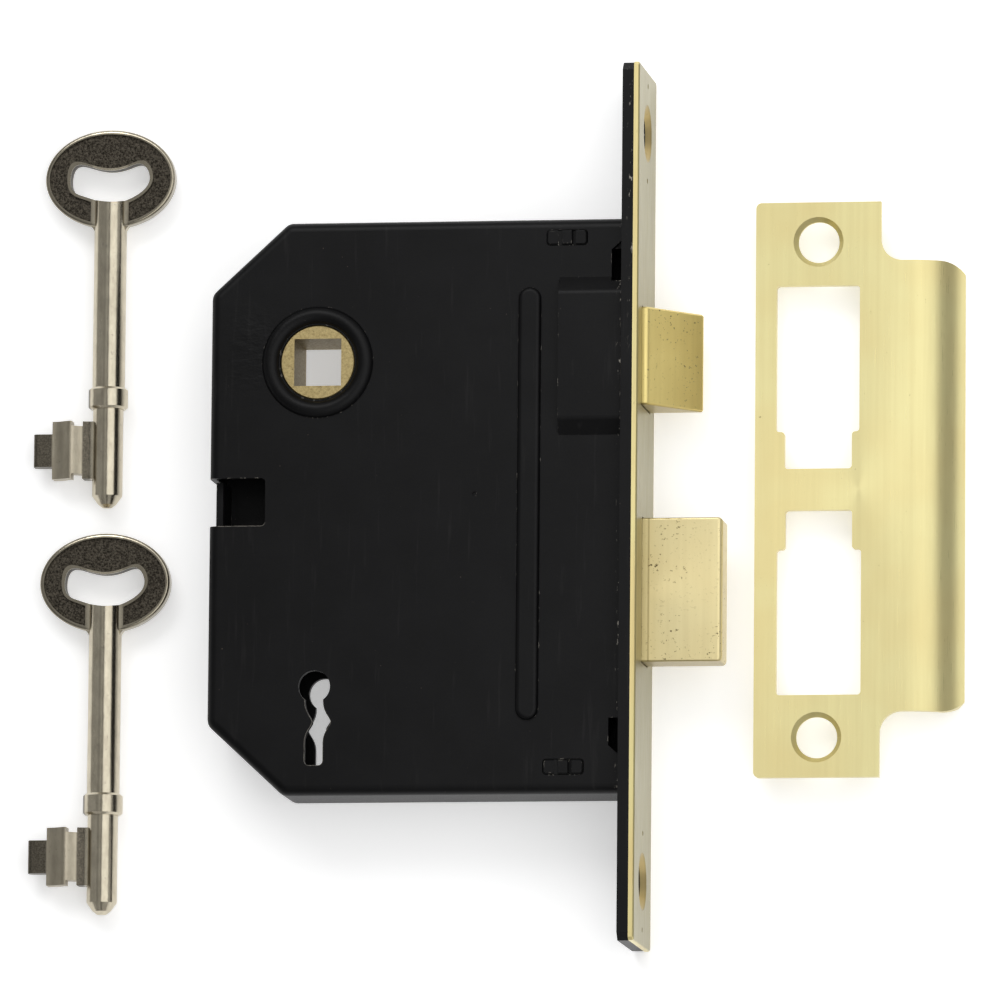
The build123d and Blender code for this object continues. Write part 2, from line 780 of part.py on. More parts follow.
def stump_in_lever(travel):
    """Where the stump stands, seen from the lever, when the bolt has drawn back by travel."""
    lift = radians(lever_lift * travel / bolt_travel)
    away_x = stump_x - travel - pivot_x
    away_y = stump_y - pivot_y
    return (pivot_x + away_x * cos(lift) - away_y * sin(lift),
            pivot_y + away_x * sin(lift) + away_y * cos(lift))


def lever(height):
    """Brass lever with its gate, pivoting at the front and riding on the key at the belly."""
    gate_width = 2 * (stump_radius + gate_clearance)
    steps = 14
    with BuildPart() as plate:
        with BuildSketch(level(height)) as outline:
            with BuildLine():
                start = (pivot_x + 1.5, pivot_y + 4.2)
                Polyline(start, (-64.5, -29.6), (-66.0, -31.5), (-66.0, -43.5))
                Spline((-66.0, -43.5), (-61.5, -49.2), (-57.0, -49.9), (-51.0, -48.6),
                       (-43.0, -46.4), (-37.0, -40.0), (pivot_x + 3.0, pivot_y - 3.2))
                ThreePointArc((pivot_x + 3.0, pivot_y - 3.2), (pivot_x + 4.4, pivot_y), start)
            make_face()
            with Locations((pivot_x, pivot_y)):
                Circle(pivot_radius + 0.06, mode=Mode.SUBTRACT)
            # gate: pockets for the thrown and drawn bolt, joined by the slot the stump passes
            for step in range(steps + 1):
                with Locations(stump_in_lever(bolt_travel * step / steps)):
                    Circle(gate_width / 2, mode=Mode.SUBTRACT)
            for step in range(steps):
                here = Vector(*stump_in_lever(bolt_travel * step / steps))
                ahead = Vector(*stump_in_lever(bolt_travel * (step + 1) / steps))
                gap = ahead - here
                with Locations((here + ahead) * 0.5):
                    Rectangle(gap.length, gate_width, rotation=gap.get_signed_angle(Vector(1, 0, 0)),
                              mode=Mode.SUBTRACT)
            with Locations((stump_x, stump_y), (stump_x - bolt_travel, stump_y - 0.8)):
                RectangleRounded(gate_width + 0.6, gate_width + 2.6, 0.6, mode=Mode.SUBTRACT)
        extrude(amount=lever_thickness)
    return plate


def lever_spring(height):
    """Leaf spring from the lever's top edge, bowed up to its stop."""
    depth = 1.4
    leaf = 0.35
    rest_y = stop_y - stop_radius - leaf - 0.05
    with BuildPart() as spring:
        with BuildSketch(level(height + (lever_thickness - depth) / 2)) as outline:
            with BuildLine():
                lower = Spline((-44.0, -29.72), (-52.0, -28.0), (stop_x - 1.5, rest_y),
                               tangents=[(-1, 0), (-0.9, 0.35)])
                upper = Spline((stop_x - 1.5, rest_y + leaf), (-52.0, -28.0 + leaf), (-44.0, -29.72 + leaf),
                               tangents=[(0.9, -0.35), (1, 0)])
                Line(lower @ 1, upper @ 0)
                Line(upper @ 1, lower @ 0)
            make_face()
        extrude(amount=depth)
    return spring


lever_front = lever(lever_levels["front"])

lever_back = lever(lever_levels["back"])

lever_spring_front = lever_spring(lever_levels["front"])

lever_spring_back = lever_spring(lever_levels["back"])

lever_pivot = post(pivot_radius, pivot_x, pivot_y, floor_inside, roof_inside)

lever_spring_stop = post(stop_radius, stop_x, stop_y, floor_inside, roof_inside)


# ---------------------------------------------------------------- strike plate

strike_tab_right = strike_left + strike_tab_width
strike_back = strike_top - strike_thickness
lip_centre_z = strike_top - lip_radius
lip_angle = acos(-lip_centre_z / (lip_radius - strike_thickness))
lip_start = lip_end - lip_radius * sin(lip_angle)
strike_screw_ys = (strike_high - strike_screw_ends, strike_low + strike_screw_ends)
strike_screw_x = strike_left + strike_screw_inset

with BuildPart() as strike_plate:
    with BuildSketch(profile_plane(strike_high)):
        with BuildLine():
            Polyline((lip_start, strike_back), (strike_left, strike_back), (strike_left, strike_top),
                     (lip_start, strike_top))
            turn = -degrees(lip_angle)
            outer_arc = CenterArc((lip_start, lip_centre_z), lip_radius, 90, turn)
            inner_arc = CenterArc((lip_start, lip_centre_z), lip_radius - strike_thickness, 90, turn)
            Line(outer_arc @ 1, inner_arc @ 1)
        make_face()
    extrude(amount=strike_high - strike_low)
    with BuildSketch(level(-1)) as strike_outline:
        with BuildLine():
            lip_high = strike_high - lip_upper_drop
            lip_low = strike_low + lip_lower_rise
            Polyline(
                (strike_left, strike_high), (strike_tab_right, strike_high), (strike_tab_right, lip_high),
                (lip_end + 1, lip_high), (lip_end + 1, lip_low), (strike_tab_right, lip_low),
                (strike_tab_right, strike_low), (strike_left, strike_low), close=True,
            )
        make_face()
        inner_corners = strike_outline.vertices().filter_by(
            lambda v: abs(v.X - strike_tab_right) < 0.01 and (abs(v.Y - lip_high) < 0.01
                                                              or abs(v.Y - lip_low) < 0.01))
        fillet(inner_corners, lip_fillet)
        fillet(strike_outline.vertices().group_by(Axis.X)[-1], lip_corner + 1)
        fillet(strike_outline.vertices().group_by(Axis.X)[0], 1.0)
    extrude(amount=strike_top + 2, mode=Mode.INTERSECT)
    with BuildSketch(level(strike_back - 1)) as apertures:
        for near, far, low, high in strike_apertures:
            add(span(strike_left + near, strike_left + far, strike_high - low, strike_high - high))
        fillet(apertures.vertices(), 0.6)
    extrude(amount=strike_thickness + 2, mode=Mode.SUBTRACT)
    for screw_y in strike_screw_ys:
        with BuildSketch(level(strike_back - 1)):
            with Locations((strike_screw_x, screw_y)):
                Circle(strike_screw_radius)
        extrude(amount=strike_thickness + 2, mode=Mode.SUBTRACT)
        with BuildSketch(level(strike_top)):
            with Locations((strike_screw_x, screw_y)):
                Circle(strike_sink_radius)
        with BuildSketch(level(strike_top - strike_sink_radius + strike_screw_radius)):
            with Locations((strike_screw_x, screw_y)):
                Circle(strike_screw_radius)
        loft(mode=Mode.SUBTRACT)


# ---------------------------------------------------------------- keys

def bow_hole(margin):
    """Bean-shaped finger hole of the bow, or its outline about margin larger, about the bow's centre."""
    middle_y = -0.8
    half_width = 7.1
    half_height = 3.5
    wider = 1 + margin / half_width
    taller = 1 + margin / half_height
    outline = [(-half_width, 0.1), (-5.6, 2.6), (-3.2, 2.1), (0, 1.5), (3.2, 2.1), (5.6, 2.6),
               (half_width, 0.1), (4.6, -3.1), (0, -4.3), (-4.6, -3.1)]
    with BuildSketch() as hole:
        with BuildLine():
            Spline(*[(x * wider, middle_y + (y - middle_y) * taller) for x, y in outline], periodic=True)
        make_face()
    return hole.sketch


def key(top):
    """Lever key lying on its collar: bow up the door at top, bit pointing away from the lock."""
    axis_x = forend_front_x + key_x
    axis_z = collar_radius
    top_y = spindle_y + top
    collar_y = top_y - collar_drop
    bit_y = collar_y - collar_length - bit_offset
    bow_y = top_y - bow_half_height
    end_y = top_y - key_length
    flat = Plane(origin=(axis_x, 0, axis_z))
    bow_plane = Plane(origin=(axis_x, bow_y, axis_z - bow_thickness / 2))
    with BuildPart() as blank:
        # bow, thinner where it runs out into the shank's root fillets
        with BuildSketch(bow_plane):
            Ellipse(bow_half_width, bow_half_height)
        extrude(amount=bow_thickness)
        fillet(blank.edges().filter_by(lambda edge: edge.length > bow_half_width), 0.5)
        with BuildSketch(bow_plane.offset(bow_web_inset)) as bow:
            Ellipse(bow_half_width - bow_web_inset, bow_half_height - bow_web_inset)
            add(span(-bow_root_half_width, bow_root_half_width, -bow_half_height - 5, 0))
            root_corners = bow.vertices().filter_by(lambda v: -bow_half_height < v.Y < -bow_half_height + 2)
            fillet(root_corners, bow_root_radius)
        extrude(amount=bow_thickness - 2 * bow_web_inset)
        # shank, collar and stem turned about the key axis
        with BuildSketch(flat):
            with BuildLine():
                Polyline(
                    (0, bow_y - shank_start), (shank_radius, bow_y - shank_start),
                    (shank_radius, collar_y), (collar_radius - collar_edge, collar_y),
                    (collar_radius, collar_y - collar_edge),
                    (collar_radius, collar_y - collar_length + collar_edge),
                    (collar_radius - collar_edge, collar_y - collar_length),
                    (stem_radius, collar_y - collar_length), (stem_radius, end_y + tip_length),
                    (nose_radius, end_y + nose_length), (nose_flat_radius, end_y), (0, end_y),
                    close=True,
                )
            make_face()
        revolve(axis=Axis((axis_x, 0, axis_z), (0, 1, 0)))
        # recessed panels on both faces of the bow, inside a rim and beside the shank's ridge
        for side in (0, 1):
            floor = axis_z - bow_thickness / 2 + side * (bow_thickness - bow_recess)
            with BuildSketch(Plane(origin=(axis_x, bow_y, floor))):
                Ellipse(bow_half_width - bow_rim, bow_half_height - bow_rim)
                add(bow_hole(bow_hole_rim), mode=Mode.SUBTRACT)
                add(span(-shank_radius - 0.5, shank_radius + 0.5, -bow_half_height, -1.0),
                    mode=Mode.SUBTRACT)
            extrude(amount=bow_recess, mode=Mode.SUBTRACT)
        with BuildSketch(Plane(origin=(axis_x, bow_y, 0))):
            add(bow_hole(0))
        extrude(amount=2 * collar_radius, mode=Mode.SUBTRACT)
        # bit, with the S section, the ward groove and the shoulders of its step
        with BuildSketch(Plane(origin=(axis_x, bit_y - bit_length, axis_z), x_dir=(0, 0, 1),
                               z_dir=(0, 1, 0))):
            add(warded_strip(bit_thickness, bit_root, bit_reach, ward_bulge))
        extrude(amount=bit_length)
        with BuildSketch(Plane(origin=(axis_x, bit_y - bit_length, 0))):
            for end in (0, bit_length):
                add(span(-groove_far, -groove_near, end - groove_cut, end + groove_cut))
                add(span(-bit_reach - 1, -bit_shoulder, end - bit_shoulder_cut, end + bit_shoulder_cut))
        extrude(amount=3 * collar_radius, mode=Mode.SUBTRACT)
    return blank


key_1 = key(key_tops["key_1"])

key_2 = key(key_tops["key_2"])


# ---------------------------------------------------------------- files

pieces = {
    "case_shell": case_shell, "case_cover": case_cover, "cover_pillar": cover_pillar,
    "cover_screw": cover_screw, "inner_forend": inner_forend, "outer_forend": outer_forend,
    "forend_lug_upper": forend_lug_upper, "forend_lug_lower": forend_lug_lower,
    "latch_bolt": latch_bolt, "latch_tail": latch_tail, "latch_rivets": latch_rivets,
    "latch_spring": latch_spring, "latch_spring_post": latch_spring_post,
    "follower": follower, "follower_spring": follower_spring,
    "follower_spring_post": follower_spring_post,
    "deadbolt": deadbolt, "deadbolt_tail": deadbolt_tail, "deadbolt_rivets": deadbolt_rivets,
    "bolt_stump": bolt_stump, "lever_pivot": lever_pivot,
    "lever_front": lever_front, "lever_back": lever_back,
    "lever_spring_front": lever_spring_front, "lever_spring_back": lever_spring_back,
    "lever_spring_stop": lever_spring_stop,
    "strike_plate": strike_plate, "key_1": key_1, "key_2": key_2,
}

os.makedirs("parts", exist_ok=True)
for name, piece in pieces.items():
    piece.part.label = name
    export_step(piece.part, f"parts/{name}.step")
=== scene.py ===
import json
from math import cos, radians, sin

import bpy
from mathutils import Matrix, Vector


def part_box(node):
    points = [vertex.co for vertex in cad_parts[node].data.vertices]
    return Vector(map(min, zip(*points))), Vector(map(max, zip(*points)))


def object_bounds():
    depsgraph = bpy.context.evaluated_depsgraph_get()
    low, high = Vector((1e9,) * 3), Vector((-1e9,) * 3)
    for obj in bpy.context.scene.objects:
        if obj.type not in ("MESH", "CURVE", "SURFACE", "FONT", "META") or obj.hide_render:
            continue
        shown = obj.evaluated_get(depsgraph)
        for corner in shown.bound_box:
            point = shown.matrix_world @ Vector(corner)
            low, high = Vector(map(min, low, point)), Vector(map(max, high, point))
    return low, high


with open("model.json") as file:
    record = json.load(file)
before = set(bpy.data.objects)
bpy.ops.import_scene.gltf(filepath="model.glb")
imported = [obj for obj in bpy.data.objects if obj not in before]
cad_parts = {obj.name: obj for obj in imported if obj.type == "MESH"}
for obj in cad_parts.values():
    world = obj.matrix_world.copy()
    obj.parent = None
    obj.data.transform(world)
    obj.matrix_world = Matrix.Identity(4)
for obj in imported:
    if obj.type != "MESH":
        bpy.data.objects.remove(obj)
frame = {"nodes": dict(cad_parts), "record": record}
cad_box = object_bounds()
nodes = frame["nodes"]

MM = 0.001


# ------------------------------------------------------------ places taken from the frame

forend_low, forend_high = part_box("outer_forend")
shell_low, shell_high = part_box("case_shell")
follower_low, follower_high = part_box("follower")
latch_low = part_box("latch_bolt")[0]
deadbolt_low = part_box("deadbolt")[0]
spindle = (follower_low + follower_high) / 2
mounts = {mount["name"]: mount for mount in frame["record"]["mounts"]}
keyhole = Vector(mounts["keyhole"]["pos_m"])

# the follower's end lies this far below the case's face
follower_sunk = 0.05 * MM
case_face_z = follower_high.z + follower_sunk

# where painted highlights, coloured as bare steel, lie along cut edges on the case's face: round the
# keyhole's slot, below its round part, and along the rear notch's lower edge
slot_x = (keyhole.x - 3.5 * MM, keyhole.x + 3.5 * MM)
slot_y = (keyhole.y - 14.5 * MM, keyhole.y - 2.2 * MM)
notch_x = (shell_low.x + 0.6 * MM, shell_low.x + 11.0 * MM)
notch_y = (shell_low.y + 46.9 * MM, shell_low.y + 47.7 * MM)
cut_z = (case_face_z - 1.3 * MM, case_face_z + 0.4 * MM)


# ------------------------------------------------------------ node helpers

# rays the Bevel node sends out to find an edge
bevel_samples = 6


class Nodes:
    """Short calls for building one material's node tree."""

    def __init__(self, name):
        self.material = bpy.data.materials.new(name)
        self.material.use_nodes = True
        self.tree = self.material.node_tree
        self.shader = self.tree.nodes["Principled BSDF"]
        coordinates = self.tree.nodes.new("ShaderNodeTexCoord")
        self.place = coordinates.outputs["Object"]

    def link(self, value, socket):
        if isinstance(value, bpy.types.NodeSocket):
            self.tree.links.new(value, socket)
        else:
            socket.default_value = value

    def stretched(self, scale):
        """Object coordinates multiplied by scale along each axis."""
        mapping = self.tree.nodes.new("ShaderNodeMapping")
        mapping.inputs["Scale"].default_value = scale
        self.tree.links.new(self.place, mapping.inputs["Vector"])
        return mapping.outputs["Vector"]

    def noise(self, size_mm, detail=3.0, rough=0.55, stretch=(1, 1, 1)):
        """Noise whose features are about size_mm, longer along an axis whose stretch is larger."""
        node = self.tree.nodes.new("ShaderNodeTexNoise")
        per_metre = 1 / (size_mm * MM)
        scale = tuple(per_metre / s for s in stretch)
        self.tree.links.new(self.stretched(scale), node.inputs["Vector"])
        node.inputs["Scale"].default_value = 1.0
        node.inputs["Detail"].default_value = detail
        node.inputs["Roughness"].default_value = rough
        return node.outputs["Fac"]

    def math(self, operation, a, b=0.0, clamp=False):
        node = self.tree.nodes.new("ShaderNodeMath")
        node.operation = operation
        node.use_clamp = clamp
        self.link(a, node.inputs[0])
        self.link(b, node.inputs[1])
        return node.outputs[0]

    def remap(self, value, low, high, to_low=0.0, to_high=1.0):
        node = self.tree.nodes.new("ShaderNodeMapRange")
        node.clamp = True
        self.link(value, node.inputs["Value"])
        for name, number in (("From Min", low), ("From Max", high),
                             ("To Min", to_low), ("To Max", to_high)):
            node.inputs[name].default_value = number
        return node.outputs["Result"]

    def mix(self, factor, a, b):
        node = self.tree.nodes.new("ShaderNodeMix")
        node.data_type = "RGBA"
        self.link(factor, node.inputs[0])
        for value, socket in ((a, node.inputs[6]), (b, node.inputs[7])):
            if isinstance(value, bpy.types.NodeSocket):
                self.tree.links.new(value, socket)
            else:
                socket.default_value = (*value, 1.0)
        return node.outputs[2]

    def axis(self, name):
        """One coordinate of the place on the object, in metres in the row's frame."""
        node = self.tree.nodes.new("ShaderNodeSeparateXYZ")
        self.tree.links.new(self.place, node.inputs[0])
        return node.outputs[name]

    def band(self, name, low, high, soft=0.3 * MM):
        """1 between low and high along an axis, falling to 0 over soft."""
        along = self.axis(name)
        rise = self.remap(along, low - soft, low + soft)
        fall = self.remap(along, high - soft, high + soft, 1.0, 0.0)
        return self.math("MULTIPLY", rise, fall)

    def edges(self, radius_mm, strength=6.0):
        """1 along sharp edges and 0 on flat ground."""
        bevel = self.tree.nodes.new("ShaderNodeBevel")
        bevel.samples = bevel_samples
        bevel.inputs["Radius"].default_value = radius_mm * MM
        geometry = self.tree.nodes.new("ShaderNodeNewGeometry")
        dot = self.tree.nodes.new("ShaderNodeVectorMath")
        dot.operation = "DOT_PRODUCT"
        self.tree.links.new(bevel.outputs["Normal"], dot.inputs[0])
        self.tree.links.new(geometry.outputs["Normal"], dot.inputs[1])
        turned = self.math("SUBTRACT", 1.0, dot.outputs["Value"])
        return self.math("MULTIPLY", turned, strength, clamp=True)

    def bump(self, height, depth_mm, before=None):
        node = self.tree.nodes.new("ShaderNodeBump")
        node.inputs["Strength"].default_value = 1.0
        node.inputs["Distance"].default_value = depth_mm * MM
        self.tree.links.new(height, node.inputs["Height"])
        if before is not None:
            self.tree.links.new(before, node.inputs["Normal"])
        return node.outputs["Normal"]

    def finish(self, colour, roughness, metallic, normal=None):
        self.tree.links.new(colour, self.shader.inputs["Base Color"])
        self.link(roughness, self.shader.inputs["Roughness"])
        self.link(metallic, self.shader.inputs["Metallic"])
        if normal is not None:
            self.tree.links.new(normal, self.shader.inputs["Normal"])
        return self.material


def wear(material, name):
    """Give a CAD node its material in every slot."""
    mesh = nodes[name].data
    if not mesh.materials:
        mesh.materials.append(material)
    for index in range(len(mesh.materials)):
        mesh.materials[index] = material


# ------------------------------------------------------------ colours

paint_black = (0.0013, 0.0013, 0.0016)
paint_faded = (0.0030, 0.0030, 0.0034)
paint_streak = (0.018, 0.017, 0.017)
paint_dust = (0.11, 0.085, 0.07)
bare_steel = (0.42, 0.39, 0.34)
zinc_grey = (0.56, 0.56, 0.56)
spring_grey = (0.34, 0.34, 0.35)

pit_brown = (0.09, 0.065, 0.03)
root_brown = (0.20, 0.14, 0.05)
underside_shade = (0.34, 0.27, 0.12)
dimple_shade = (0.36, 0.27, 0.12)
fleck_brown = (0.20, 0.17, 0.09)
front_shade_light = (0.31, 0.278, 0.140)
front_shade_deep = (0.275, 0.238, 0.108)
forend_light = (0.78, 0.69, 0.335)
forend_deep = (0.76, 0.62, 0.29)
latch_light = (0.78, 0.65, 0.265)
latch_deep = (0.72, 0.58, 0.225)
deadbolt_light = (0.72, 0.63, 0.35)
deadbolt_deep = (0.70, 0.59, 0.31)
strike_light = (0.70, 0.635, 0.325)
strike_deep = (0.68, 0.585, 0.285)
cast_light = (0.56, 0.45, 0.22)
cast_deep = (0.32, 0.245, 0.11)
cast_grime = (0.13, 0.10, 0.05)
square_shade = (0.10, 0.075, 0.045)

nickel_light = (0.59, 0.535, 0.415)
nickel_deep = (0.48, 0.43, 0.33)
nickel_rim = (0.20, 0.18, 0.14)
nickel_bit = (0.24, 0.21, 0.16)
nickel_stain = (0.12, 0.11, 0.09)
grain_dark = (0.016, 0.014, 0.011)
grain_light = (0.115, 0.10, 0.078)


# ------------------------------------------------------------ materials

def black_paint(name, rubbed_x=None, rubbed_y=None, patches=False, edge_chips=0.58, cut_edge_highlights=False):
    """Satin black stove paint over steel: fine texture, chipped on sharp edges and rubbed near rubbed_x.

    rubbed_y is the stretch of the rubbed edge that is worn most, and edge_chips is higher for fewer chips.
    cut_edge_highlights paints highlights as bare steel on the keyhole slot's and rear notch's cut edges.
    """
    n = Nodes(name)
    grain = n.noise(0.25, 4.0, 0.6)
    cloud = n.noise(11.0, 3.0)
    streak = n.noise(1.2, 3.0, 0.6, stretch=(1, 14, 1))
    base = n.mix(n.remap(cloud, 0.35, 0.65), paint_black, paint_faded)
    base = n.mix(n.remap(streak, 0.6, 0.75, 0.0, 0.35), base, paint_streak)
    # stray dust specks in the paint
    speck = n.remap(n.noise(0.55, 1.0), 0.80, 0.84)
    base = n.mix(n.math("MULTIPLY", speck, 0.5), base, paint_dust)
    # chips to bare metal, only where an edge is sharp
    chip_noise = n.remap(n.noise(0.8, 4.0, 0.65, stretch=(1, 2.5, 1)), edge_chips, edge_chips + 0.07)
    chips_and_highlights = n.math("MULTIPLY", n.edges(0.22), chip_noise)
    if rubbed_x is not None:
        near_edge = n.band("X", rubbed_x - 0.9 * MM, rubbed_x + 0.3 * MM, 0.4 * MM)
        if rubbed_y is not None:
            near_edge = n.math("MULTIPLY", near_edge, n.band("Y", *rubbed_y, 12 * MM))
        rubbed = n.remap(n.noise(0.6, 4.0, 0.65, stretch=(1, 3, 1)), 0.61, 0.67)
        chips_and_highlights = n.math("MAXIMUM", chips_and_highlights, n.math("MULTIPLY", near_edge, rubbed))
    # painted highlights, coloured as bare steel, along the cut edges by the keyhole's slot and the rear notch
    if cut_edge_highlights:
        by_slot = n.math("MULTIPLY", n.band("X", *slot_x), n.band("Y", *slot_y))
        by_notch = n.math("MULTIPLY", n.band("X", *notch_x), n.band("Y", *notch_y))
        sharp = n.math("MULTIPLY", n.edges(0.20, 9.0), n.band("Z", *cut_z))
        edge_highlight = n.math("MULTIPLY", n.math("MAXIMUM", by_slot, by_notch), sharp)
        uneven = n.remap(n.noise(0.9, 3.0), 0.36, 0.50, 0.3, 1.0)
        chips_and_highlights = n.math("MAXIMUM", chips_and_highlights, n.math("MULTIPLY", edge_highlight, uneven))
    colour = n.mix(n.math("MULTIPLY", chips_and_highlights, 0.75), base, bare_steel)
    n.shader.inputs["Specular IOR Level"].default_value = 0.175
    roughness = n.remap(grain, 0.3, 0.7, 0.36, 0.48)
    normal = n.bump(grain, 0.012)
    if patches:
        # coarser orange peel beside the follower's boss
        left = n.band("X", spindle.x - 15 * MM, spindle.x - 8 * MM, 2.5 * MM)
        level = n.band("Y", spindle.y - 5 * MM, spindle.y + 9 * MM, 2.5 * MM)
        here = n.math("MULTIPLY", left, level)
        ripple = n.noise(0.9, 2.0, 0.5, stretch=(1.7, 1, 1))
        normal = n.bump(n.math("MULTIPLY", ripple, here), 0.10, normal)
    return n.finish(colour, roughness, n.math("MULTIPLY", chips_and_highlights, 0.8), normal)


def screw_hole_ys():
    """Heights of the forend's two screw holes."""
    screws = mounts["forend_screws"]
    middle_y = screws["pos_m"][1]
    half = screws["dims"]["spacing_x_mm"] * MM / 2
    return middle_y - half, middle_y + half


def brushed_brass(name, light, deep, roughness=0.34, pits=0.5, pit_level=0.745, root_line=False,
                  underside=None, shaded_front=False):
    """Lacquered satin brass: fine brushing along Y, soft colour patches, a few dark pits.

    pits is how dark the pits are, and pit_level is lower for more of them. underside is the height of a
    lower face on which browner shade is painted. shaded_front paints shade on the forend's front
    and in its screw dimples.
    """
    n = Nodes(name)
    long = (1, 60, 1)
    fine = n.noise(0.12, 3.0, 0.6, stretch=long)
    broad = n.noise(1.1, 3.0, 0.55, stretch=long)
    cloud = n.noise(16.0, 2.0)
    colour = n.mix(n.remap(cloud, 0.35, 0.65), light, deep)
    colour = n.mix(n.remap(broad, 0.35, 0.68, 0.0, 0.30), colour, tuple(0.86 * c for c in deep))
    pit = n.math("MULTIPLY", n.remap(n.noise(0.5, 2.0), pit_level, pit_level + 0.045),
                 n.remap(n.noise(7.0, 1.0), 0.48, 0.62, 0.15, 1.0))
    colour = n.mix(n.math("MULTIPLY", pit, pits), colour, pit_brown)
    if root_line:
        # the brown line worn round the bolt where it leaves the forend
        line = n.band("X", forend_high.x + 1.0 * MM, forend_high.x + 1.25 * MM, 0.12 * MM)
        colour = n.mix(n.math("MULTIPLY", line, 0.6), colour, root_brown)
    if underside is not None:
        # painted shade: the lower face is coloured browner than the other faces
        below = n.remap(n.axis("Y"), underside + 0.05 * MM, underside + 0.30 * MM, 1.0, 0.0)
        colour = n.mix(n.math("MULTIPLY", below, 0.8), colour, underside_shade)
    if shaded_front:
        # painted shade for the front's dimmer reflection: greyer and duller than the bright cut edge
        front = n.remap(n.axis("X"), forend_high.x - 0.30 * MM, forend_high.x - 0.02 * MM)
        front_shade = n.mix(n.remap(n.noise(5.0, 3.0, 0.6, stretch=(1, 3, 1)), 0.35, 0.65),
                        front_shade_light, front_shade_deep)
        colour = n.mix(front, colour, front_shade)
        # and painted shade: browner inside the screw holes' sinks
        dimple_reach = 5.3 * MM
        middle_z = (forend_low.z + forend_high.z) / 2
        sunk = n.remap(n.axis("X"), forend_high.x - 0.10 * MM, forend_high.x - 0.02 * MM, 1.0, 0.0)
        sunk = n.math("MULTIPLY", sunk, n.band("Z", middle_z - dimple_reach, middle_z + dimple_reach))
        for hole_y in screw_hole_ys():
            dimple = n.math("MULTIPLY", sunk, n.band("Y", hole_y - dimple_reach, hole_y + dimple_reach))
            colour = n.mix(n.math("MULTIPLY", dimple, 0.85), colour, dimple_shade)
        # a few brown flecks
        fleck = n.remap(n.noise(0.8, 2.0, 0.5, stretch=(1, 4, 1)), 0.72, 0.77)
        colour = n.mix(n.math("MULTIPLY", fleck, 0.35), colour, fleck_brown)
    rough = n.remap(fine, 0.3, 0.7, roughness - 0.06, roughness + 0.07)
    normal = n.bump(fine, 0.0022)
    normal = n.bump(pit, 0.03, normal)
    n.shader.inputs["Anisotropic"].default_value = 0.35
    return n.finish(colour, rough, 1.0, normal)


def machined_brass(name):
    """Cast and faced brass: mottled, with tool marks and dark grains."""
    n = Nodes(name)
    mottle = n.noise(0.45, 5.0, 0.7)
    marks = n.noise(0.16, 3.0, 0.6, stretch=(5, 1, 1))
    colour = n.mix(n.remap(mottle, 0.35, 0.66), cast_light, cast_deep)
    grime = n.remap(n.noise(0.7, 3.0, 0.6), 0.63, 0.72)
    colour = n.mix(n.math("MULTIPLY", grime, 0.7), colour, cast_grime)
    # the square hole's walls are darker than the faced ends
    faced = 0.4 * MM
    inside = n.math("MULTIPLY", n.band("Z", follower_low.z + faced, follower_high.z - faced, 0.2 * MM), 0.55)
    colour = n.mix(inside, colour, square_shade)
    return n.finish(colour, n.remap(mottle, 0.3, 0.7, 0.34, 0.55), 1.0, n.bump(marks, 0.01))


def bright_steel(name, tint, roughness):
    """Zinc plated or drawn steel, with fine draw lines and clouding."""
    n = Nodes(name)
    lines = n.noise(0.2, 3.0, 0.6, stretch=(1, 1, 12))
    cloud = n.noise(2.4, 3.0)
    colour = n.mix(n.remap(cloud, 0.35, 0.65), tint, tuple(0.72 * c for c in tint))
    rough = n.remap(lines, 0.3, 0.7, roughness - 0.06, roughness + 0.10)
    return n.finish(colour, rough, 1.0, n.bump(lines, 0.004))


